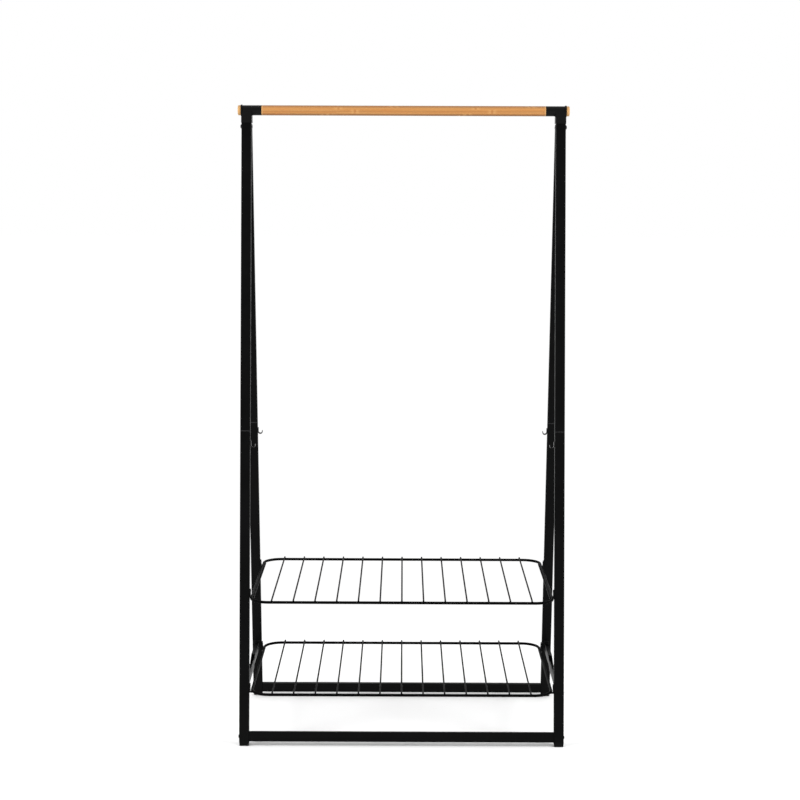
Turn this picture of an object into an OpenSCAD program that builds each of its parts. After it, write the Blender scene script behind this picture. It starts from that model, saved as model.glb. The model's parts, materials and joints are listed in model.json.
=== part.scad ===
// Folding garment rail: two leaning leg frames of flat steel tube under a wooden rod,
// with two wire shelves and a folding stay on each side.
// Width runs along X, depth along Y with the front towards -Y, and +Z is up.
// The origin is on the floor, under the middle of the rod.
// One leg corner is drawn at the right and front, and mirrored to the other three.

/* [Overall] */
// Height to the top of the flanges at the rod's ends
overall_h = 1900; // [1700:10:2000]
// Width over the legs' outer faces
frame_w = 970; // [900:10:1100]
// Depth between the front and back leg centres on the floor
foot_span = 512; // [480:4:540]

/* [Rod] */
// Diameter of the wooden rod
rod_d = 30; // [28:1:34]
// Diameter of the tenon that runs through each connector
tenon_d = 24; // [20:1:24]
// Length of the rounded wooden knob outside each connector
knob_len = 9; // [6:1:16]

/* [Tube] */
// Width of the leg and rail tube
tube_w = 30; // [28:1:32]
// Depth of the leg and rail tube
tube_d = 15; // [14:1:16]
// Wall thickness of the tube
tube_wall = 1.5; // [1:0.1:2]
// Height of the joint in the front legs
front_seam_z = 932; // [880:1:980]
// Height of the joint in the back legs
back_seam_z = 921; // [880:1:980]

/* [Shelves] */
// Height of the upper shelf's rim
upper_shelf_z = 446; // [420:1:470]
// Height of the lower shelf's rim
lower_shelf_z = 166; // [155:1:175]
// Depth of a shelf between its front and back rail centres
shelf_depth = 577; // [560:1:590]
// Diameter of the rim wire
rim_d = 8.4; // [6:0.2:9]
// Diameter of the deck wires
wire_d = 4.8; // [3:0.1:5]
// Number of deck wires on a shelf
wire_count = 13; // [9:2:13]

/* [Stays] */
// Height of the stay's centre line when the frame is open
stay_z = 173; // [170:1:180]
// Height of the front half of a stay
stay_h = 30; // [26:1:30]
// Width of the front half of a stay
stay_w = 16; // [16:0.5:18]

/* [Hidden] */

$fn = 64;
slack = 0.05;           // radial clearance of a pin in its bore
eps = 0.01;             // overshoot of a cut
black = [0.09, 0.09, 0.095];
black_plastic = [0.14, 0.14, 0.145];
steel = [0.72, 0.73, 0.74];
bamboo = [0.80, 0.58, 0.34];

// Leg geometry: the bolts at the top, the lean, and lengths along a leg
bolt_y = 12;            // the two bolts at a leg's top stand this far from the middle
bolt_drop = 48;         // bolts below the rod's centre line
flange_r = rod_d / 2 + 2;
rod_z = overall_h - flange_r;
bolt_z = rod_z - bolt_drop;
leg_x = frame_w / 2 - tube_w / 2;
lean = atan((foot_span / 2 - bolt_y) / bolt_z);
leg_len = bolt_z / cos(lean);
function along(z) = -(bolt_z - z) / cos(lean);      // place on a leg's centre line at height z
function leg_y(z) = bolt_y + (bolt_z - z) * tan(lean);
corner_r = 2.5;
inner_w = tube_w - 2 * tube_wall;
inner_d = tube_d - 2 * tube_wall;
plug_fit = 0.3;         // gap all round between a plug and the tube it fills
front_top = 9.8;        // front tube's end above its bolt
back_top = 8;           // back tube's end above its pivot
seam_gap = 1.2;

// Connectors
body_w = 31.5;
body_drop = 11;         // the connector's lower face above the bolts
body_z = bolt_z + body_drop;
sleeve_end = leg_x - 45;
flange_x = leg_x + 17.5;
flange_w = 4.5;
tongue_len = 28;
neck_t = 7.2;           // rear tongue's thickness above its round end
bolt_d = 6;
bolt_head_d = 13;
bolt_head_h = 3.2;

// Rails, feet and screws
rail_z = 27;
rail_len = 2 * leg_x - tube_w;
screw_d = 5;
screw_head_d = 11;
screw_len = 52;
plug_len = 28;
leg_bottom = 12.5;      // the leg tube's end above the floor, along the leg
foot_plug_len = 10;     // foot inside the tube, below the rail's screw

// Shelves: the rim runs inside the legs, and the pivot pins stand out of its sides
rim_half_x = 446.5 * frame_w / 970;
rim_half_y = shelf_depth / 2;
rim_corner_r = 55;
rim_r = rim_d / 2;
wire_inset = 8.7;       // outermost deck wire from the start of the rim's corner
wire_pitch = 2 * (rim_half_x - rim_corner_r - wire_inset) / (wire_count - 1);
wire_sink = 0.3;        // depth that a deck wire is welded into the rim
wire_over = rim_r;      // deck wire past the rail's centre at the back
side_wire_d = 4;
side_wire_half = 225;
pin_d = 6;
pin_reach = 8;          // pivot pin inside the leg

// Clips on the legs' inner faces
clip_t = 3;
clip_half_y = 6;
clip_up = 18;
clip_down = 9;
lip_reach = 14;         // the cradle's lip out from the leg's inner face
lip_t = 4;
rest_gap = 0.3;

// Hooks
hook_z = 883;
hook_h = 20;
hook_t = 2.5;
hook_out = 15;
hook_w = 9;

// Stays: pivots between the legs, one folding half on each frame
pivot_off = 18.5;       // from the leg's face to a stay's pivot
stay_wall = 1.5;
rear_half_h = 26;
rear_half_w = 12;
stay_pin_d = 6;
mid_pin_d = 5;
pivot_y = leg_y(stay_z) - (tube_d / 2 + pivot_off) / cos(lean);
half_shift = 1.5;       // the front half is longer, the rear half shorter, by this much
rear_len = pivot_y - half_shift;
front_len = pivot_y + half_shift;
front_web_from = 16;
front_web_to = 118;
front_tip = 20;         // front half past the middle pin
rear_tip = 12;          // rear half past the middle pin
rear_web_from = 16;
tray_from = 40;         // start of the rear half's lower web
notch_len = 26;         // level part of the notch for the middle pin
notch_ramp = 52;        // rising part of the notch
ear_t = 1.6;
ear_r = 9;
bracket_h = 36;
plate_t = 1.6;
front_ear_in = stay_w / 2 + 0.4;
rear_ear_in = 2.4;

// ---- shared shapes ----

// A rectangle with round corners, centred
module round_rect(w, d, r) {
    square([w - 2 * r, d], center = true);
    square([w, d - 2 * r], center = true);
    for (i = [-1, 1], j = [-1, 1]) translate([i * (w / 2 - r), j * (d / 2 - r)]) circle(r);
}

// Flat tube standing on z = 0
module tube(length) {
    linear_extrude(length) difference() {
        round_rect(tube_w, tube_d, corner_r);
        round_rect(inner_w, inner_d, corner_r - tube_wall);
    }
}

// Solid plug for the tube, standing on z = 0
module plug(length) {
    linear_extrude(length) round_rect(inner_w - 2 * plug_fit, inner_d - 2 * plug_fit, 0.8);
}

// Cylinder along X from x0 to x1
module x_bar(d, x0, x1) {
    translate([x0, 0, 0]) rotate([0, 90, 0]) cylinder(d = d, h = x1 - x0);
}

// Low domed head that stands on x = 0 and points along +X
module dome_head(d, h) {
    rotate([0, 90, 0]) rotate_extrude() intersection() {
        square([d / 2, h]);
        translate([0, h - (d * d / 4 + h * h) / (2 * h)]) circle((d * d / 4 + h * h) / (2 * h));
    }
}

// Copies what is drawn at the right and front to another corner
module corner(side, end) {
    mirror([side < 0 ? 1 : 0, 0, 0]) mirror([0, end > 0 ? 1 : 0, 0]) children();
}

// A leg's own frame: z along the leg from its bolt, +y towards the other leg
module on_leg(side, end) {
    corner(side, end) translate([leg_x, -bolt_y, bolt_z]) rotate([-lean, 0, 0]) children();
}

// ---- rod and connectors ----

module rod() color(bamboo) {
    x_at_rod() x_bar(rod_d, -sleeve_end, sleeve_end);
    x_at_rod() x_bar(tenon_d, -flange_x, flange_x);
}

module x_at_rod() translate([0, 0, rod_z]) children();

module knob(side) color(bamboo) {
    edge = 3;
    corner(side, -1) translate([flange_x, 0, rod_z]) rotate([0, 90, 0]) rotate_extrude() {
        square([rod_d / 2, knob_len - edge]);
        square([rod_d / 2 - edge, knob_len]);
        translate([rod_d / 2 - edge, knob_len - edge]) circle(edge);
    }
}

// Outline of the connector's body in the Y-Z plane
module connector_outline() {
    foot = leg_y(body_z) + tube_d / 2 / cos(lean) + tube_wall;
    translate([0, rod_z]) circle(d = rod_d);
    polygon([[-rod_d / 2, rod_z], [rod_d / 2, rod_z], [foot, body_z], [-foot, body_z]]);
}

// Small web in the corner between the sleeve and the body
module corner_web() {
    leg = 3;
    translate([leg_x - body_w / 2, 0, rod_z - rod_d / 2]) rotate([90, 0, 0])
        linear_extrude(10, center = true) difference() {
            translate([-leg, -leg]) square(leg + 1);
            translate([-leg, -leg]) circle(leg);
        }
}

module connector(side) color(black_plastic) corner(side, -1) difference() {
    union() {
        x_at_rod() x_bar(rod_d, sleeve_end, flange_x);
        x_at_rod() x_bar(2 * flange_r, flange_x - flange_w, flange_x);
        translate([leg_x - body_w / 2, 0, 0]) rotate([90, 0, 90])
            linear_extrude(body_w) connector_outline();
        corner_web();
        on_leg(1, -1) translate([0, 0, -tongue_len]) plug(tongue_len + body_drop + 3);
        on_leg(1, 1) rear_tongue();
    }
    x_at_rod() x_bar(tenon_d + 2 * slack, sleeve_end - 1, flange_x + 1);
    for (end = [-1, 1]) on_leg(1, end) x_bar(bolt_d + 2 * slack, -tube_w, tube_w);
}

// Round-ended tongue that the back leg turns on
module rear_tongue() {
    half = inner_w / 2 - plug_fit;
    x_bar(inner_d - 2 * plug_fit, -half, half);
    translate([-half, -neck_t / 2, 0]) cube([2 * half, neck_t, body_drop + 3]);
}

module top_bolts(end, gap) color(black) for (side = [-1, 1]) on_leg(side, end) {
    outer = tube_w / 2 + gap;
    x_bar(bolt_d, -outer, outer);
    translate([outer, 0, 0]) dome_head(bolt_head_d, bolt_head_h);
    mirror([1, 0, 0]) translate([outer, 0, 0]) dome_head(bolt_head_d - 3, 1);
}

// ---- legs, rails and feet ----

module leg_upper(side, end) color(black) on_leg(side, end) {
    seam = along(end < 0 ? front_seam_z : back_seam_z);
    top = end < 0 ? front_top : back_top;
    difference() {
        translate([0, 0, seam + seam_gap / 2]) tube(top - seam - seam_gap / 2);
        x_bar(bolt_d + 2 * slack, -tube_w, tube_w);
    }
}

module leg_lower(side, end) color(black) on_leg(side, end) {
    seam = along(end < 0 ? front_seam_z : back_seam_z);
    low = leg_bottom - leg_len;
    difference() {
        translate([0, 0, low]) tube(seam - seam_gap / 2 - low);
        translate([0, 0, along(rail_z)]) x_bar(screw_d + 2 * slack, -tube_w, tube_w);
        if (end > 0) for (z = [upper_shelf_z, lower_shelf_z])
            translate([0, 0, along(z)]) x_bar(pin_d + 2, -tube_w, 0);
    }
}

module leg_joiners(end) color(black_plastic) for (side = [-1, 1]) on_leg(side, end) {
    half = 40;
    translate([0, 0, along(end < 0 ? front_seam_z : back_seam_z) - half]) plug(2 * half);
}

module rail(end) color(black) on_leg(1, end)
    translate([-leg_x - rail_len / 2, 0, along(rail_z)]) rotate([0, 90, 0]) tube(rail_len);

module rail_plugs(end) color(black_plastic) for (side = [-1, 1]) on_leg(side, end)
    translate([-tube_w / 2 - plug_len, 0, along(rail_z)]) difference() {
        rotate([0, 90, 0]) plug(plug_len);
        x_bar(screw_d + 2 * slack, -1, plug_len + 1);
    }

module rail_screws(end) color(black) for (side = [-1, 1]) on_leg(side, end)
    translate([tube_w / 2, 0, along(rail_z)]) {
        x_bar(screw_d, -screw_len, 0);
        dome_head(screw_head_d, 2.2);
    }

module foot(side, end) color(black_plastic) intersection() {
    on_leg(side, end) translate([0, 0, leg_bottom - leg_len]) {
        plug(foot_plug_len);
        hull() {
            translate([0, 0, -1.5]) linear_extrude(1.5) round_rect(tube_w, tube_d, corner_r, $fn = 32);
            translate([0, 0, -22]) linear_extrude(1) round_rect(tube_w - 5, tube_d - 3, 4, $fn = 32);
        }
    }
    translate([-leg_x * 2, -foot_span, 0]) cube([leg_x * 4, foot_span * 2, 100]);
}

// ---- hooks and shelf clips ----

module hook(side, end) color(black) on_leg(side, end)
    translate([-tube_w / 2, hook_w / 2, along(hook_z)]) mirror([1, 0, 0])
        rotate([90, 0, 0]) linear_extrude(hook_w) hook_outline();

// J outline: a plate on x = 0, a half round, and a short tip
module hook_outline() {
    r = hook_out / 2;
    translate([0, r]) square([hook_t, hook_h - r]);
    translate([hook_out - hook_t, r]) square([hook_t, 2]);
    translate([hook_out - hook_t / 2, r + 2]) circle(hook_t / 2);
    intersection() {
        translate([r, r]) difference() {
            circle(r);
            circle(r - hook_t);
        }
        square([hook_out, r]);
    }
}

// Plate on the leg's inner face with a rivet; the front ones hold the rim in an open cradle,
// and the back ones carry the shelf's pivot pin
module clip(side, end, z) color(black_plastic) on_leg(side, end)
    translate([-tube_w / 2, 0, along(z)]) mirror([1, 0, 0]) difference() {
        union() {
            translate([0, -clip_half_y, -clip_down]) cube([clip_t, 2 * clip_half_y, clip_up + clip_down]);
            translate([clip_t, 0, clip_up - 6]) dome_head(7, 1);
            if (end < 0) translate([0, -clip_half_y, -rim_r - rest_gap - lip_t - 0.8])
                cube([lip_reach, 2 * clip_half_y, lip_t]);
            if (end > 0) x_bar(2 * clip_half_y, 0, clip_t + 0.8);
        }
        if (end > 0) x_bar(pin_d + 2 * slack, -1, clip_t + 3);
    }

// ---- stays ----

// A stay's bracket on its leg: a riveted plate, and two ears that reach the pivot
module bracket(side, end) color(black) {
    inset = end < 0 ? front_ear_in : rear_ear_in;
    half = front_ear_in + ear_t;
    on_leg(side, end) translate([0, tube_d / 2, along(stay_z) + pivot_slide]) {
        translate([-half, 0, -bracket_h / 2]) cube([2 * half, plate_t, bracket_h]);
        for (x = [-6, 6], z = [-14, 14]) translate([x, plate_t, z]) rotate([0, 0, 90]) dome_head(5, 1);
        for (s = [-1, 1]) translate([s * (inset + ear_t / 2) - ear_t / 2, 0, 0]) difference() {
            union() {
                translate([0, pivot_off, 0]) x_bar(2 * ear_r, 0, ear_t);
                translate([0, 0, -ear_r]) cube([ear_t, pivot_off, 2 * ear_r]);
            }
            translate([0, pivot_off, 0]) x_bar(stay_pin_d + 2 * slack, -1, ear_t + 1);
        }
    }
}

// The pivot lies level with stay_z, so its foot on the leg is this much further up
pivot_slide = (tube_d / 2 + pivot_off) * tan(lean);

module at_pivot(side, end) corner(side, end) translate([leg_x, -pivot_y, stay_z]) children();

// Short rivets on the outside of the front half, so that the rear half can lie between them
module front_stay_rivets() color(steel) for (side = [-1, 1], s = [0, 1]) at_pivot(side, -1)
    mirror([s, 0, 0]) {
        x_bar(stay_pin_d, stay_w / 2 - stay_wall + 0.1, front_ear_in + ear_t);
        translate([front_ear_in + ear_t, 0, 0]) dome_head(9, 1.2);
    }

module back_stay_pins() color(steel) for (side = [-1, 1]) at_pivot(side, 1)
    x_bar(stay_pin_d, 0.1 - rear_half_w / 2, rear_half_w / 2 - 0.1);

// Side plate outline of a half: from its pivot at the origin along +x, with a round pivot end
module half_outline(length, h) {
    circle(d = h);
    translate([0, -h / 2]) square([length - h / 2, h]);
    translate([length - h / 2, 0]) circle(d = h);
}

// Front half: an open channel, with the middle pin near its tip
module front_stay(side) color(black) at_pivot(side, -1) {
    total = front_len + front_tip;
    for (s = [-1, 1]) translate([s * (stay_w - stay_wall) / 2 - stay_wall / 2, 0, 0]) difference() {
        rotate([90, 0, 90]) linear_extrude(stay_wall) half_outline(total, stay_h);
        x_bar(stay_pin_d + 2 * slack, -1, stay_wall + 1);
    }
    translate([-stay_w / 2, front_web_from, stay_h / 2 - stay_wall])
        cube([stay_w, front_web_to - front_web_from, stay_wall]);
    translate([0, front_len, 0]) x_bar(mid_pin_d, -stay_w / 2, stay_w / 2);
}

// Rear half: a narrower channel that folds between the front half's sides. Its end is notched
// from above, so the middle pin rests in it when the stay is straight. A lower web closes it
// underneath as far as the tip
module rear_stay(side) color(black) at_pivot(side, 1) {
    total = rear_len + rear_tip;
    floor_z = -mid_pin_d / 2 - rest_gap;
    web_to = rear_len - notch_len - notch_ramp;
    difference() {
        for (s = [-1, 1])
            translate([s * (rear_half_w - stay_wall) / 2 - stay_wall / 2, 0, 0]) rotate([90, 0, 90])
                linear_extrude(stay_wall) difference() {
                    half_outline(total, rear_half_h);
                    polygon([
                        [rear_len + mid_pin_d / 2 + rest_gap, floor_z],
                        [rear_len + mid_pin_d / 2 + rest_gap, rear_half_h],
                        [web_to, rear_half_h], [web_to, rear_half_h / 2],
                        [rear_len - notch_len, floor_z]
                    ]);
                }
        x_bar(stay_pin_d + 2 * slack, -rear_half_w, rear_half_w);
    }
    translate([-rear_half_w / 2, rear_web_from, rear_half_h / 2 - stay_wall])
        cube([rear_half_w, web_to - rear_web_from, stay_wall]);
    translate([-rear_half_w / 2, tray_from, -rear_half_h / 2])
        cube([rear_half_w, total - rear_half_h / 2 - tray_from, stay_wall]);
}

// ---- wire shelves ----

module quarter_ring(x, y, turn) translate([x, y, 0]) rotate([0, 0, turn])
    rotate_extrude(angle = 90) translate([rim_corner_r, 0]) circle(rim_r, $fn = 32);

// Bent wire rim: four straights and four quarter rings
module rim(z) color(black) translate([0, 0, z]) {
    sx = rim_half_x - rim_corner_r;
    sy = rim_half_y - rim_corner_r;
    for (j = [-1, 1]) translate([0, j * rim_half_y, 0]) x_bar(rim_d, -sx, sx, $fn = 32);
    for (i = [-1, 1]) translate([i * rim_half_x, -sy, 0]) rotate([-90, 0, 0])
        cylinder(d = rim_d, h = 2 * sy, $fn = 32);
    quarter_ring(sx, sy, 0);
    quarter_ring(-sx, sy, 90);
    quarter_ring(-sx, -sy, 180);
    quarter_ring(sx, -sy, 270);
}

module deck_wires(z) color(black) for (i = [0 : wire_count - 1])
    translate([(i - (wire_count - 1) / 2) * wire_pitch, -rim_half_y,
               z + rim_r + wire_d / 2 - wire_sink])
        rotate([-90, 0, 0]) cylinder(d = wire_d, h = shelf_depth + wire_over, $fn = 24);

module side_wires(z) color(black) for (i = [-1, 1])
    translate([i * (rim_half_x - rim_r - side_wire_d / 2 + wire_sink), -side_wire_half, z])
        rotate([-90, 0, 0]) cylinder(d = side_wire_d, h = 2 * side_wire_half, $fn = 24);

module shelf_pins(z) color(steel) for (side = [-1, 1]) corner(side, 1)
    translate([0, -leg_y(z), z]) x_bar(pin_d, rim_half_x + rim_r - 0.2, leg_x - tube_w / 2 + pin_reach);

// ---- every node, drawn by name ----

rod();
knob(-1);  // knob_left
knob(1);  // knob_right
connector(-1);  // connector_left
connector(1);  // connector_right
top_bolts(-1, 0);  // leg_bolts
top_bolts(1, 0.3);  // pivot_bolts
leg_upper(-1, -1);  // front_leg_upper_left
leg_upper(1, -1);  // front_leg_upper_right
leg_lower(-1, -1);  // front_leg_lower_left
leg_lower(1, -1);  // front_leg_lower_right
leg_joiners(-1);  // front_leg_joiners
rail(-1);  // front_rail
rail_plugs(-1);  // front_rail_plugs
rail_screws(-1);  // front_rail_screws
foot(-1, -1);  // front_foot_left
foot(1, -1);  // front_foot_right
hook(-1, -1);  // front_hook_left
hook(1, -1);  // front_hook_right
clip(-1, -1, upper_shelf_z);  // front_clip_upper_left
clip(1, -1, upper_shelf_z);  // front_clip_upper_right
clip(-1, -1, lower_shelf_z);  // front_clip_lower_left
clip(1, -1, lower_shelf_z);  // front_clip_lower_right
bracket(-1, -1);  // front_bracket_left
bracket(1, -1);  // front_bracket_right
front_stay_rivets();
leg_upper(-1, 1);  // back_leg_upper_left
leg_upper(1, 1);  // back_leg_upper_right
leg_lower(-1, 1);  // back_leg_lower_left
leg_lower(1, 1);  // back_leg_lower_right
leg_joiners(1);  // back_leg_joiners
rail(1);  // back_rail
rail_plugs(1);  // back_rail_plugs
rail_screws(1);  // back_rail_screws
foot(-1, 1);  // back_foot_left
foot(1, 1);  // back_foot_right
hook(-1, 1);  // back_hook_left
hook(1, 1);  // back_hook_right
clip(-1, 1, upper_shelf_z);  // back_clip_upper_left
clip(1, 1, upper_shelf_z);  // back_clip_upper_right
clip(-1, 1, lower_shelf_z);  // back_clip_lower_left
clip(1, 1, lower_shelf_z);  // back_clip_lower_right
bracket(-1, 1);  // back_bracket_left
bracket(1, 1);  // back_bracket_right
back_stay_pins();
rear_stay(-1);  // rear_stay_left
rear_stay(1);  // rear_stay_right
front_stay(-1);  // front_stay_left
front_stay(1);  // front_stay_right
rim(upper_shelf_z);  // upper_rim
deck_wires(upper_shelf_z);  // upper_wires
side_wires(upper_shelf_z);  // upper_side_wires
shelf_pins(upper_shelf_z);  // upper_pins
rim(lower_shelf_z);  // lower_rim
deck_wires(lower_shelf_z);  // lower_wires
shelf_pins(lower_shelf_z);  // lower_pins
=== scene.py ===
import json
import math
import random

import bmesh
import bpy
from mathutils import Matrix, Vector


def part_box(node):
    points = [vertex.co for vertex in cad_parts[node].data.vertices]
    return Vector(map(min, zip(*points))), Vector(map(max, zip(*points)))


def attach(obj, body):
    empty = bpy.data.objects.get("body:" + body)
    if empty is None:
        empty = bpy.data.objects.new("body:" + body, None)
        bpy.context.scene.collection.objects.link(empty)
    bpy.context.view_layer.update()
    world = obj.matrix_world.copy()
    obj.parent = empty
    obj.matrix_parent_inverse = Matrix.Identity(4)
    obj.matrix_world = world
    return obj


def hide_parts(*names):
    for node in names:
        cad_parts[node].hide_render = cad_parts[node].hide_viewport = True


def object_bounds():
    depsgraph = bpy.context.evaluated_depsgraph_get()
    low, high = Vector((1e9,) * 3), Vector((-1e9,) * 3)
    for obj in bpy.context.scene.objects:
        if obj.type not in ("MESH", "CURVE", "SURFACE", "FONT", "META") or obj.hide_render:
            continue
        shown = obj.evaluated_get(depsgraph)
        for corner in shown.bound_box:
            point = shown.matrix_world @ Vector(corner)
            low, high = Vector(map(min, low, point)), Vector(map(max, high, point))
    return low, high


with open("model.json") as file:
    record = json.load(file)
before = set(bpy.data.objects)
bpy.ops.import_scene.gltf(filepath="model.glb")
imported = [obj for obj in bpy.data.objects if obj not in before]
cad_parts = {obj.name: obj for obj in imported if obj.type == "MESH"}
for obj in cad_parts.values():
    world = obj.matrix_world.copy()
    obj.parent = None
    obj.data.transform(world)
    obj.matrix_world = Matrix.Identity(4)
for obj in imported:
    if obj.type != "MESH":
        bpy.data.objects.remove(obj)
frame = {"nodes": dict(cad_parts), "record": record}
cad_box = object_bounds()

# Looks for the folding garment rail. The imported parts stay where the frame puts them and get
# procedural materials. Bolts and screws are turned again here with their sockets, and weld
# beads and the legs' collars are added.

MM = 0.001
NODES = frame["nodes"]
SLOT_OF = {s["node"]: s["material_slot"] for s in frame["record"]["subparts"]}
BODY_OF = {n: b for b, names in frame["record"]["behaviour"]["bodies"].items() for n in names}
rng = random.Random(7)


# ---- node helpers ----

class Graph:
    """Short calls for building one material's node tree."""

    def __init__(self, name):
        self.material = bpy.data.materials.new(name)
        self.material.use_nodes = True
        self.tree = self.material.node_tree
        self.tree.nodes.clear()
        self.shader = self.add("ShaderNodeBsdfPrincipled")
        output = self.add("ShaderNodeOutputMaterial")
        self.link(self.shader.outputs[0], output.inputs["Surface"])
        coords = self.add("ShaderNodeTexCoord")
        self.where = coords.outputs["Object"]

    def add(self, kind, **settings):
        node = self.tree.nodes.new(kind)
        for key, value in settings.items():
            setattr(node, key, value)
        return node

    def link(self, source, target):
        self.tree.links.new(source, target)

    def feed(self, socket, value):
        if isinstance(value, bpy.types.NodeSocket):
            self.link(value, socket)
        else:
            socket.default_value = value

    def set(self, **values):
        for key, value in values.items():
            self.feed(self.shader.inputs[key.replace("_", " ")], value)

    def math(self, operation, a, b=0.0, third=0.0):
        node = self.add("ShaderNodeMath", operation=operation)
        for socket, value in zip(node.inputs, (a, b, third)):
            self.feed(socket, value)
        return node.outputs[0]

    def scaled(self, scale):
        node = self.add("ShaderNodeMapping")
        self.link(self.where, node.inputs["Vector"])
        node.inputs["Scale"].default_value = scale
        return node.outputs[0]

    def axes(self):
        node = self.add("ShaderNodeSeparateXYZ")
        self.link(self.where, node.inputs[0])
        return node.outputs

    def combine(self, x, y, z):
        node = self.add("ShaderNodeCombineXYZ")
        for socket, value in zip(node.inputs, (x, y, z)):
            self.feed(socket, value)
        return node.outputs[0]

    def noise(self, vector, scale, detail=2.0, rough=0.5):
        node = self.add("ShaderNodeTexNoise")
        self.link(vector, node.inputs["Vector"])
        node.inputs["Scale"].default_value = scale
        node.inputs["Detail"].default_value = detail
        node.inputs["Roughness"].default_value = rough
        return node.outputs["Fac"]

    def cell_value(self, vector):
        node = self.add("ShaderNodeTexWhiteNoise", noise_dimensions="3D")
        self.link(vector, node.inputs["Vector"])
        return node.outputs["Value"]

    def ramp(self, fac, stops, ease="LINEAR"):
        """Colour ramp. A stop is a place with a grey level or a colour."""
        node = self.add("ShaderNodeValToRGB")
        self.feed(node.inputs[0], fac)
        node.color_ramp.interpolation = ease
        elements = node.color_ramp.elements
        while len(elements) < len(stops):
            elements.new(0.5)
        for element, (place, color) in zip(elements, stops):
            element.position = place
            element.color = grey(color) if isinstance(color, (int, float)) else (*color, 1.0)
        return node.outputs[0]

    def mix(self, fac, a, b, blend="MIX"):
        node = self.add("ShaderNodeMix", data_type="RGBA", blend_type=blend)
        self.feed(node.inputs[0], fac)
        for socket, value in ((node.inputs[6], a), (node.inputs[7], b)):
            self.feed(socket, (*value, 1.0) if isinstance(value, tuple) else value)
        return node.outputs[2]

    def bump(self, height, distance, strength):
        node = self.add("ShaderNodeBump")
        self.link(height, node.inputs["Height"])
        node.inputs["Distance"].default_value = distance
        node.inputs["Strength"].default_value = strength
        self.link(node.outputs[0], self.shader.inputs["Normal"])


def grey(value):
    return (value, value, value, 1.0)


# ---- materials ----

def powder_coat(name, base, roughness, grain, sheen):
    """Satin black powder coat: fine orange peel, faint cloudiness, and dust-pale scuffs."""
    g = Graph(name)
    cloud = g.noise(g.where, 9.0, 4.0)
    speck = g.noise(g.where, 900.0, 2.0)
    tone = g.ramp(cloud, [(0.35, tuple(c * 0.85 for c in base)), (0.7, tuple(c * 1.2 for c in base))])
    scuff_at = g.ramp(g.noise(g.scaled((40, 40, 9)), 1.0, 5.0, 0.7), [(0.66, 0.0), (0.78, 1.0)])
    pale = tuple(c * 1.8 + 0.001 for c in base)
    color = g.mix(g.math("MULTIPLY", scuff_at, 0.25), tone, pale)
    rough = g.ramp(g.noise(g.where, 35.0, 3.0), [(0.3, roughness - 0.05), (0.75, roughness + 0.07)])
    g.set(Base_Color=color, Roughness=rough, Specular_IOR_Level=sheen)
    peel = g.noise(g.where, grain, 2.0, 0.4)
    g.bump(g.math("ADD", peel, g.math("MULTIPLY", speck, 0.25)), 0.00012, 0.35)
    return g.material


def moulded_plastic(name, base, roughness, sheen):
    """Matte moulded plastic with a spark-eroded grain."""
    grain = 1500.0
    g = Graph(name)
    low_tone = tuple(c * 0.9 for c in base)
    high_tone = tuple(c * 1.12 for c in base)
    tone = g.ramp(g.noise(g.where, 14.0, 3.0), [(0.3, low_tone), (0.75, high_tone)])
    pits = g.noise(g.where, grain, 3.0, 0.6)
    rough = g.ramp(pits, [(0.3, roughness - 0.06), (0.7, roughness + 0.06)])
    g.set(Base_Color=tone, Roughness=rough, Specular_IOR_Level=sheen)
    g.bump(pits, 0.00008, 0.5)
    return g.material


def plated_steel(name, tint, roughness):
    """Zinc-plated steel with drawn lines and a soft spangle."""
    g = Graph(name)
    lines = g.noise(g.scaled((1200, 1200, 60)), 1.0, 2.0)
    spangle = g.noise(g.where, 260.0, 2.0)
    dark = tuple(c * 0.78 for c in tint)
    color = g.mix(g.ramp(spangle, [(0.35, 0.0), (0.7, 1.0)]), dark, tint)
    rough = g.ramp(lines, [(0.3, roughness - 0.08), (0.7, roughness + 0.1)])
    g.set(Base_Color=color, Metallic=1.0, Roughness=rough)
    g.bump(lines, 0.00005, 0.4)
    return g.material


def black_oxide(name):
    """Blackened steel of the screws and bolts, slightly paler in worn patches."""
    g = Graph(name)
    wear = g.ramp(g.noise(g.where, 420.0, 3.0), [(0.55, 0.0), (0.8, 1.0)])
    color = g.mix(g.math("MULTIPLY", wear, 0.3), (0.016, 0.016, 0.018), (0.075, 0.075, 0.08))
    rough = g.ramp(g.noise(g.where, 120.0, 2.0), [(0.3, 0.34), (0.7, 0.5)])
    g.set(Base_Color=color, Roughness=rough, Specular_IOR_Level=0.35, Metallic=0.25)
    g.bump(g.noise(g.where, 1600.0, 2.0), 0.00004, 0.4)
    return g.material


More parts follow.
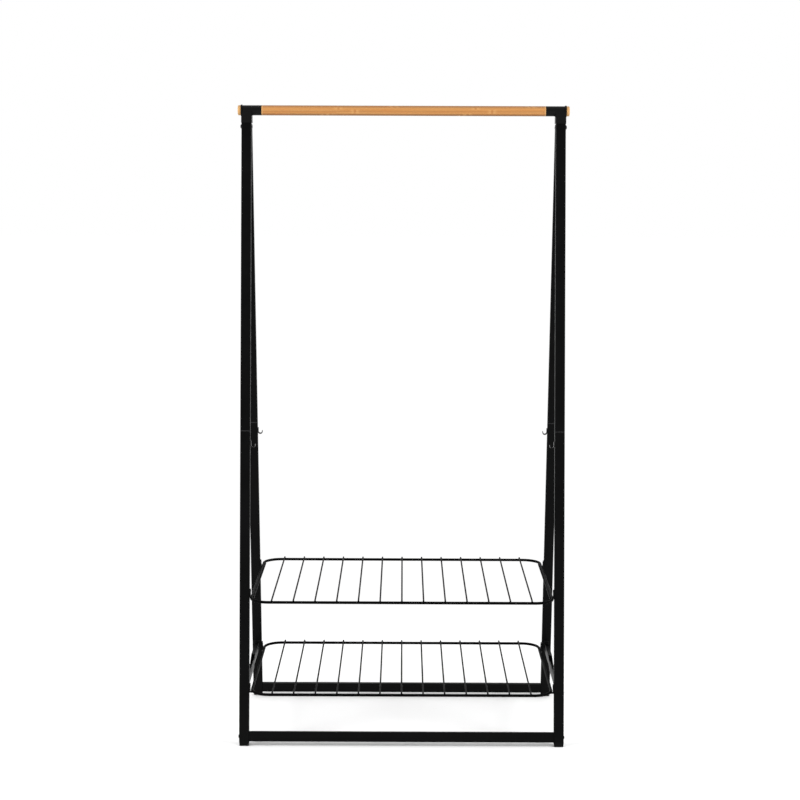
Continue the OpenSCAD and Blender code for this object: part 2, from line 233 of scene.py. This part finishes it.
def bamboo(name):
    """Laminated bamboo along X: glued strips of differing tone, fibres, and faint nodes, with painted
    shade darkening the top and bottom of the rod.
    """
    g = Graph(name)
    strip_l = 0.62
    rows_per_radius = 2.5
    node_pitch = 0.41
    end_l = 5 * MM
    low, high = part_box("rod")
    middle = (low + high) / 2
    radius = (high.z - low.z) / 2
    x, y, z = g.axes()
    wave = g.math("MULTIPLY", g.math("SUBTRACT", g.noise(g.scaled((1.3, 0, 0)), 1.0, 1.0), 0.5), 0.12)
    height = g.math("ADD", g.math("DIVIDE", g.math("SUBTRACT", z, middle.z), radius), wave)
    strip_row = g.math("ADD", g.math("MULTIPLY", height, rows_per_radius), 0.5)
    row = g.math("FLOOR", strip_row)
    column = g.math("FLOOR", g.math("DIVIDE", g.math("SUBTRACT", y, middle.y), 0.6 * radius))
    stagger = g.math("MULTIPLY", g.cell_value(g.combine(row, column, 3.0)), strip_l)
    piece = g.math("FLOOR", g.math("DIVIDE", g.math("ADD", x, stagger), strip_l))
    strip_tone = g.cell_value(g.combine(row, column, piece))
    light, mid, deep = (0.55, 0.290, 0.102), (0.505, 0.247, 0.079), (0.425, 0.186, 0.053)
    color = g.ramp(strip_tone, [(0.0, deep), (0.3, mid), (0.8, light), (1.0, mid)])
    # Painted shade across the rod's height: the colour is darkest towards the top and bottom edges, and
    # a darker band runs a little below the middle
    painted_shade_band = g.ramp(g.math("MULTIPLY_ADD", height, 0.5, third=0.5), [
        (0.03, 0.36), (0.15, 0.43), (0.2, 0.95), (0.33, 0.98), (0.38, 0.74), (0.45, 0.8),
        (0.52, 1.0), (0.73, 1.06), (0.79, 0.76), (0.9, 0.58), (1.0, 0.45)])
    color = g.mix(1.0, color, painted_shade_band, "MULTIPLY")
    fibre = g.noise(g.scaled((7, 1300, 1300)), 1.0, 3.0, 0.6)
    broad = g.noise(g.scaled((1.8, 210, 210)), 1.0, 2.0, 0.5)
    patch = g.noise(g.scaled((9, 60, 60)), 1.0, 2.0, 0.5)
    color = g.mix(g.ramp(fibre, [(0.35, 0.45), (0.62, 0.0)]), color, (0.42, 0.15, 0.03))
    color = g.mix(g.ramp(broad, [(0.38, 0.3), (0.6, 0.0)]), color, (0.40, 0.14, 0.028))
    color = g.mix(g.ramp(patch, [(0.55, 0.0), (0.8, 0.3)]), color, (0.50, 0.15, 0.035))
    # A node is a short dark line across a strip, with a pale shoulder
    phase = g.cell_value(g.combine(column, row, 11.0))
    spot = g.math("FRACT", g.math("ADD", g.math("DIVIDE", x, node_pitch), phase))
    off = g.math("ABSOLUTE", g.math("SUBTRACT", spot, 0.5))
    color = g.mix(g.ramp(off, [(0.0, 0.3), (0.009, 0.0)]), color, (0.30, 0.10, 0.025))
    color = g.mix(g.ramp(off, [(0.006, 0.0), (0.014, 0.22), (0.04, 0.0)]), color, (0.82, 0.50, 0.20))
    # Turned ends are paler: beside the sleeves, and on the knobs
    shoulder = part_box("connector_right")[0].x
    reach = g.math("SUBTRACT", g.math("ABSOLUTE", x), shoulder - end_l)
    end_grain = g.ramp(g.math("DIVIDE", reach, end_l), [(0.2, 0.0), (0.8, 0.7)])
    pale = g.mix(g.ramp(fibre, [(0.35, 0.5), (0.65, 0.0)]), (0.64, 0.40, 0.17), (0.48, 0.25, 0.08))
    color = g.mix(end_grain, color, pale)
    # Shallow glue lines between the strips
    line = g.ramp(g.math("PINGPONG", strip_row, 0.5), [(0.0, 1.0), (0.035, 0.0)])
    color = g.mix(g.math("MULTIPLY", line, 0.25), color, (0.30, 0.11, 0.03))
    rough = g.ramp(fibre, [(0.3, 0.52), (0.7, 0.38)])
    g.set(Base_Color=color, Roughness=rough, Specular_IOR_Level=0.25)
    g.set(Coat_Weight=0.08, Coat_Roughness=0.3)
    g.bump(g.math("SUBTRACT", fibre, g.math("MULTIPLY", line, 0.5)), 0.0001, 0.3)
    return g.material


MATERIALS = {
    "bamboo": bamboo("bamboo"),
    "connector_plastic": moulded_plastic("connector_plastic", (0.0045, 0.0045, 0.0045), 0.42, 0.08),
    "foot_plastic": moulded_plastic("foot_plastic", (0.004, 0.004, 0.0041), 0.6, 0.06),
    "clip_plastic": moulded_plastic("clip_plastic", (0.0045, 0.0045, 0.0046), 0.45, 0.1),
    "insert_plastic": moulded_plastic("insert_plastic", (0.05, 0.05, 0.052), 0.6, 0.1),
    "tube_steel": powder_coat("tube_steel", (0.0022, 0.0022, 0.0023), 0.36, 480.0, 0.06),
    "stay_steel": powder_coat("stay_steel", (0.0035, 0.0035, 0.0036), 0.38, 480.0, 0.1),
    "wire_steel": powder_coat("wire_steel", (0.0018, 0.0018, 0.0019), 0.45, 900.0, 0.015),
    "hook_steel": powder_coat("hook_steel", (0.006, 0.006, 0.0062), 0.24, 1100.0, 0.3),
    "pin_steel": plated_steel("pin_steel", (0.55, 0.56, 0.57), 0.34),
    "fastener_black": black_oxide("fastener_black"),
}


def dress(obj, slot_name):
    obj.data.materials.clear()
    obj.data.materials.append(MATERIALS[slot_name])


# ---- CAD nodes ----

for node_name, node_object in NODES.items():
    dress(node_object, SLOT_OF[node_name])


# ---- mesh helpers ----

def add_piece(name, mesh_data, slot_name, body):
    """Adds a finished bmesh as a piece with its slot's material, riding on a body."""
    bmesh.ops.recalc_face_normals(mesh_data, faces=mesh_data.faces)
    mesh = bpy.data.meshes.new(name)
    mesh_data.to_mesh(mesh)
    mesh_data.free()
    mesh.polygons.foreach_set("use_smooth", [True] * len(mesh.polygons))
    mesh.set_sharp_from_angle(angle=math.radians(35))
    piece = bpy.data.objects.new(name, mesh)
    bpy.context.scene.collection.objects.link(piece)
    dress(piece, slot_name)
    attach(piece, body)
    return piece


def ring_points(radius, sides, flats):
    """Points round a circle, or round a hexagon with the radius as half its width across flats."""
    points = []
    for k in range(sides):
        angle = 2 * math.pi * k / sides
        reach = radius
        if flats:
            reach = radius / math.cos((angle + math.pi / 6) % (math.pi / 3) - math.pi / 6)
        points.append((reach * math.cos(angle), reach * math.sin(angle)))
    return points


def lathe_x(mesh_data, place, side, rings, sides=48):
    """Closed turned shape along X. A ring is its place outward, its radius, and if it is hexagonal."""
    loops = []
    for out, radius, flats in rings:
        loops.append([mesh_data.verts.new((side * out, place.y + u, place.z + v))
                      for u, v in ring_points(radius, sides, flats)])
    for one, two in zip(loops, loops[1:]):
        for k in range(sides):
            after = (k + 1) % sides
            mesh_data.faces.new((one[k], one[after], two[after], two[k]))
    mesh_data.faces.new(loops[0])
    mesh_data.faces.new(loops[-1])


def dome_rings(start, radius, height, hole):
    """Rings of a low domed head from its rim up to the edge of its socket."""
    rings = [(start, radius - 0.2 * MM, False), (start + 0.15 * height, radius, False)]
    for step in range(1, 7):
        part = step / 6
        turn = radius - part * (radius - hole)
        rise = 0.35 * height + 0.65 * height * math.sin(part * math.pi / 2)
        rings.append((start + rise, turn, False))
    return rings


def socket_rings(top, across, painted_contact_shade):
    """Rings of a hexagon socket down from the head's top."""
    half = across / 2
    mouth = (top - 0.3 * MM, half + 0.1 * MM, True)
    wall_end = (top - painted_contact_shade, half, True)
    drill_point = (top - painted_contact_shade - 0.3 * MM, 0.4 * half, False)
    return [mouth, wall_end, drill_point]


def blob(mesh_data, centre, radii, rows=6, sides=12):
    """Closed rounded bead with slightly uneven radii."""
    swell = [1 + rng.uniform(-0.07, 0.07) for _ in range(sides)]
    loops = []
    for row in range(1, rows):
        polar = math.pi * row / rows
        loop = []
        for k in range(sides):
            angle = 2 * math.pi * k / sides
            flat = math.sin(polar) * swell[k]
            across = radii[0] * flat * math.cos(angle)
            along = radii[1] * flat * math.sin(angle)
            offset = Vector((across, along, radii[2] * math.cos(polar)))
            loop.append(mesh_data.verts.new(Vector(centre) + offset))
        loops.append(loop)
    top = mesh_data.verts.new(Vector(centre) + Vector((0, 0, radii[2])))
    bottom = mesh_data.verts.new(Vector(centre) - Vector((0, 0, radii[2])))
    for k in range(sides):
        after = (k + 1) % sides
        mesh_data.faces.new((top, loops[0][k], loops[0][after]))
        mesh_data.faces.new((bottom, loops[-1][after], loops[-1][k]))
        for one, two in zip(loops, loops[1:]):
            mesh_data.faces.new((one[k], two[k], two[after], one[after]))


# ---- bolts and screws ----

def build_bolts(node, leg):
    """Socket-head bolts through the legs' tops, with a low barrel nut on the inner side."""
    low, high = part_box(node)
    middle = (low + high) / 2
    leg_low, leg_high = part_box(leg)
    head_r = (high.y - low.y) / 2
    nut_r, shank_r = 5 * MM, 3 * MM
    out_face, in_face = leg_high.x + 0.05 * MM, leg_low.x - 0.05 * MM
    nut_top = in_face - 1 * MM
    nut_socket = [
        (nut_top + 1.4 * MM, 0.8 * MM, False),
        (nut_top + 1.2 * MM, 2.0 * MM, True),
        (nut_top + 0.1 * MM, 2.1 * MM, True),
        (nut_top, 2.5 * MM, False),
    ]
    nut_side = [
        (nut_top + 0.15 * MM, nut_r - 0.9 * MM, False),
        (nut_top + 0.5 * MM, nut_r - 0.2 * MM, False),
        (in_face, nut_r, False),
    ]
    rings = nut_socket + nut_side + [(in_face, shank_r, False), (out_face, shank_r, False)]
    rings += dome_rings(out_face, head_r, high.x - out_face, 3.0 * MM)
    rings += socket_rings(high.x, 4 * MM, 1.8 * MM)
    mesh_data = bmesh.new()
    for side in (-1, 1):
        lathe_x(mesh_data, middle, side, rings)
    piece = add_piece(node + "_turned", mesh_data, "fastener_black", BODY_OF[node])
    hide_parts(node)


def build_rail_screws(node, leg):
    """Button-head screws that hold a bottom rail between its legs."""
    low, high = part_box(node)
    middle = (low + high) / 2
    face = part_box(leg)[1].x + 0.05 * MM
    head_r = (high.y - low.y) / 2
    thread_r = 2.5 * MM
    tip = face - 52 * MM
    rings = [(tip, thread_r - 0.6 * MM, False)]
    rings += [(tip + 0.8 * MM, thread_r, False), (face, thread_r, False)]
    rings += dome_rings(face, head_r, high.x - face, 2.4 * MM)
    rings += socket_rings(high.x, 3 * MM, 1.2 * MM)
    mesh_data = bmesh.new()
    for side in (-1, 1):
        lathe_x(mesh_data, middle, side, rings)
    piece = add_piece(node + "_turned", mesh_data, "fastener_black", BODY_OF[node])
    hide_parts(node)


# ---- weld beads where the shelf wires cross the rim ----

DECK_WIRES = 13         # on each shelf


def build_welds(shelf):
    """Beads that hold the deck wires' ends on a rim."""
    rim_low, rim_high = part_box(shelf + "_rim")
    wire_low, wire_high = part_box(shelf + "_wires")
    rim_r = (rim_high.z - rim_low.z) / 2
    wire_r = (wire_high.z - wire_low.z) / 2
    pitch = (wire_high.x - wire_low.x - 2 * wire_r) / (DECK_WIRES - 1)
    mesh_data = bmesh.new()
    for k in range(DECK_WIRES):
        for end in (-1, 1):
            across = wire_low.x + wire_r + k * pitch
            centre = (across, end * (rim_high.y - rim_r), rim_high.z - 0.1 * MM)
            blob(mesh_data, centre, (wire_r + 1.1 * MM, rim_r - 1.0 * MM, 1.3 * MM))
    add_piece(shelf + "_welds", mesh_data, "wire_steel", BODY_OF[shelf + "_rim"])


def build_side_welds():
    """Beads that hold the side wires against the upper rim."""
    rim_low, rim_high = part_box("upper_rim")
    wire_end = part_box("upper_side_wires")[1].y
    rim_r = (rim_high.z - rim_low.z) / 2
    seam_x = rim_high.x - 2 * rim_r
    middle_z = (rim_low.z + rim_high.z) / 2
    mesh_data = bmesh.new()
    for end in (-1, 1):
        for part in (0.96, 0.32):
            for side in (-1, 1):
                for over in (-1, 1):
                    centre = (side * seam_x, end * part * wire_end, middle_z + over * 1.2 * MM)
                    blob(mesh_data, centre, (1.6 * MM, 5 * MM, 1.1 * MM))
    add_piece("upper_side_welds", mesh_data, "wire_steel", BODY_OF["upper_rim"])


# ---- collars that show in the joints of the legs ----

def build_collars(end_name):
    """A thin plastic collar fills each gap between an upper and a lower leg tube."""
    joint_low, joint_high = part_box(end_name + "_leg_joiners")
    bolts = "leg_bolts" if end_name == "front" else "pivot_bolts"
    bolt_low, bolt_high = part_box(bolts)
    seam = (joint_low + joint_high) / 2
    top = (bolt_low + bolt_high) / 2
    lean = math.atan2(seam.y - top.y, top.z - seam.z)
    leg_low, leg_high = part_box(end_name + "_leg_upper_right")
    half_w = (leg_high.x - leg_low.x) / 2 - 0.2 * MM
    half_d, gap, corner = 7.3 * MM, 1.2 * MM, 2.3 * MM
    outline = []
    for sx, sy, start in ((1, 1, 0), (-1, 1, 90), (-1, -1, 180), (1, -1, 270)):
        for step in range(5):
            angle = math.radians(start + 22.5 * step)
            outline.append((sx * (half_w - corner) + corner * math.cos(angle),
                            sy * (half_d - corner) + corner * math.sin(angle)))
    mesh_data = bmesh.new()
    for side in (-1, 1):
        centre = Vector((side * (leg_low.x + leg_high.x) / 2, seam.y, seam.z))
        place = Matrix.Translation(centre) @ Matrix.Rotation(lean, 4, "X")
        loops = []
        for z in (-gap / 2, gap / 2):
            loops.append([mesh_data.verts.new(place @ Vector((u, v, z))) for u, v in outline])
        mesh_data.faces.new(loops[0])
        mesh_data.faces.new(loops[1])
        for k in range(len(outline)):
            after = (k + 1) % len(outline)
            mesh_data.faces.new((loops[0][k], loops[0][after], loops[1][after], loops[1][k]))
    add_piece(end_name + "_leg_collars", mesh_data, "insert_plastic", BODY_OF[end_name + "_leg_joiners"])


build_bolts("leg_bolts", "front_leg_upper_right")
build_bolts("pivot_bolts", "back_leg_upper_right")
for end_name in ("front", "back"):
    build_rail_screws(end_name + "_rail_screws", end_name + "_leg_lower_right")
for shelf in ("upper", "lower"):
    build_welds(shelf)
build_side_welds()
for end_name in ("front", "back"):
    build_collars(end_name)


# ---- camera, light and floor ----

EYE_BACK = 5.29         # metres from the object's middle to the camera
EYE_UP = 1.703
LENS = 78.45
DOWN, TURN, ROLL = 7.47, 0.087, 0.2
FLOOR_HALF = 40.0
FLOOR_GLOW = 1.02
CONTACT_SHADE_REACH = 0.05    # metres within which a nearby part also darkens the floor's colour with painted contact shade


def make_camera():
    """Level with the photograph's eye height, looking a little down."""
    low, high = cad_box
    data = bpy.data.cameras.new("camera")
    data.sensor_width = 36.0
    data.lens = LENS
    camera = bpy.data.objects.new("camera", data)
    camera.location = ((low.x + high.x) / 2, (low.y + high.y) / 2 - EYE_BACK, low.z + EYE_UP)
    down, turn, roll = (math.radians(angle) for angle in (DOWN, TURN, ROLL))
    aim = Matrix.Rotation(turn, 4, "Z") @ Matrix.Rotation(math.pi / 2 - down, 4, "X")
    camera.rotation_euler = (aim @ Matrix.Rotation(roll, 4, "Z")).to_euler()
    bpy.context.scene.collection.objects.link(camera)
    bpy.context.scene.camera = camera


def sun_light(name, strength, spread):
    """A broad soft sun straight above."""
    data = bpy.data.lights.new(name, "SUN")
    data.energy = strength
    data.angle = math.radians(spread)
    light = bpy.data.objects.new(name, data)
    bpy.context.scene.collection.objects.link(light)


def soft_box(name, place, aim, size, power):
    """A rectangular soft light that the camera doesn't see."""
    data = bpy.data.lights.new(name, "AREA")
    data.shape = "RECTANGLE"
    data.size, data.size_y = size
    data.energy = power
    light = bpy.data.objects.new(name, data)
    light.location = place
    light.rotation_euler = (Vector(aim) - Vector(place)).to_track_quat("-Z", "Y").to_euler()
    light.visible_camera = False
    bpy.context.scene.collection.objects.link(light)


def make_world(front, back):
    """Plain white to the eye. As light it is dim in front of the object and bright behind it."""
    world = bpy.data.worlds.new("studio")
    world.use_nodes = True
    tree = world.node_tree
    background = tree.nodes["Background"]
    coords = tree.nodes.new("ShaderNodeTexCoord")
    axes = tree.nodes.new("ShaderNodeSeparateXYZ")
    fade = tree.nodes.new("ShaderNodeMapRange")
    path = tree.nodes.new("ShaderNodeLightPath")
    pick = tree.nodes.new("ShaderNodeMath")
    pick.operation = "MAXIMUM"
    fade.interpolation_type = "SMOOTHSTEP"
    fade.inputs["From Min"].default_value = -0.8
    fade.inputs["From Max"].default_value = 0.8
    fade.inputs["To Min"].default_value = front
    fade.inputs["To Max"].default_value = back
    tree.links.new(coords.outputs["Generated"], axes.inputs[0])
    tree.links.new(axes.outputs["Y"], fade.inputs["Value"])
    tree.links.new(fade.outputs[0], pick.inputs[0])
    tree.links.new(path.outputs["Is Camera Ray"], pick.inputs[1])
    tree.links.new(pick.outputs[0], background.inputs["Strength"])
    background.inputs["Color"].default_value = (1.0, 1.0, 1.0, 1.0)
    bpy.context.scene.world = world


def make_floor():
    """Pale floor with painted contact shade where parts stand close to it. Away from the object it turns
    into an even white, so no horizon shows.
    """
    mesh = bpy.data.meshes.new("floor")
    corners = [(i * FLOOR_HALF, j * FLOOR_HALF, 0) for i, j in ((-1, -1), (1, -1), (1, 1), (-1, 1))]
    mesh.from_pydata(corners, [], [(0, 1, 2, 3)])
    floor = bpy.data.objects.new("floor", mesh)
    bpy.context.scene.collection.objects.link(floor)
    g = Graph("floor")
    x, y = g.axes()[:2]
    reach = g.math("SQRT", g.math("ADD", g.math("MULTIPLY", x, x), g.math("MULTIPLY", y, y)))
    tone = g.ramp(g.noise(g.where, 3.0, 2.0), [(0.3, 0.90), (0.7, 0.92)])
    away = g.ramp(g.math("DIVIDE", reach, 2.0), [(0.45, 0.0), (0.7, 1.0)], "EASE")
    # Painted contact shade: ambient occlusion darkens the floor's colour near the feet, rails and other
    # nearby parts
    contact = g.add("ShaderNodeAmbientOcclusion", samples=16)
    contact.inputs["Distance"].default_value = CONTACT_SHADE_REACH
    painted_contact_shade = g.ramp(contact.outputs["AO"], [(0.0, 0.1), (0.35, 0.5), (0.55, 0.88), (0.85, 1.0)])
    tone = g.mix(1.0, tone, painted_contact_shade, "MULTIPLY")
    g.set(Base_Color=g.mix(away, tone, (0.0, 0.0, 0.0)), Roughness=0.9, Specular_IOR_Level=0.0)
    g.set(Emission_Color=(1.0, 1.0, 1.0, 1.0), Emission_Strength=g.math("MULTIPLY", away, FLOOR_GLOW))
    mesh.materials.append(g.material)


make_camera()
make_world(0.35, 1.0)
make_floor()
sun_light("overhead", 0.5, 50)
for side in (-1, 1):
    soft_box("side", (side * 2.7, -1.6, 2.1), (0, 0, 0.9), (0.9, 2.2), 80)

scene = bpy.context.scene
scene.view_settings.view_transform = "Standard"
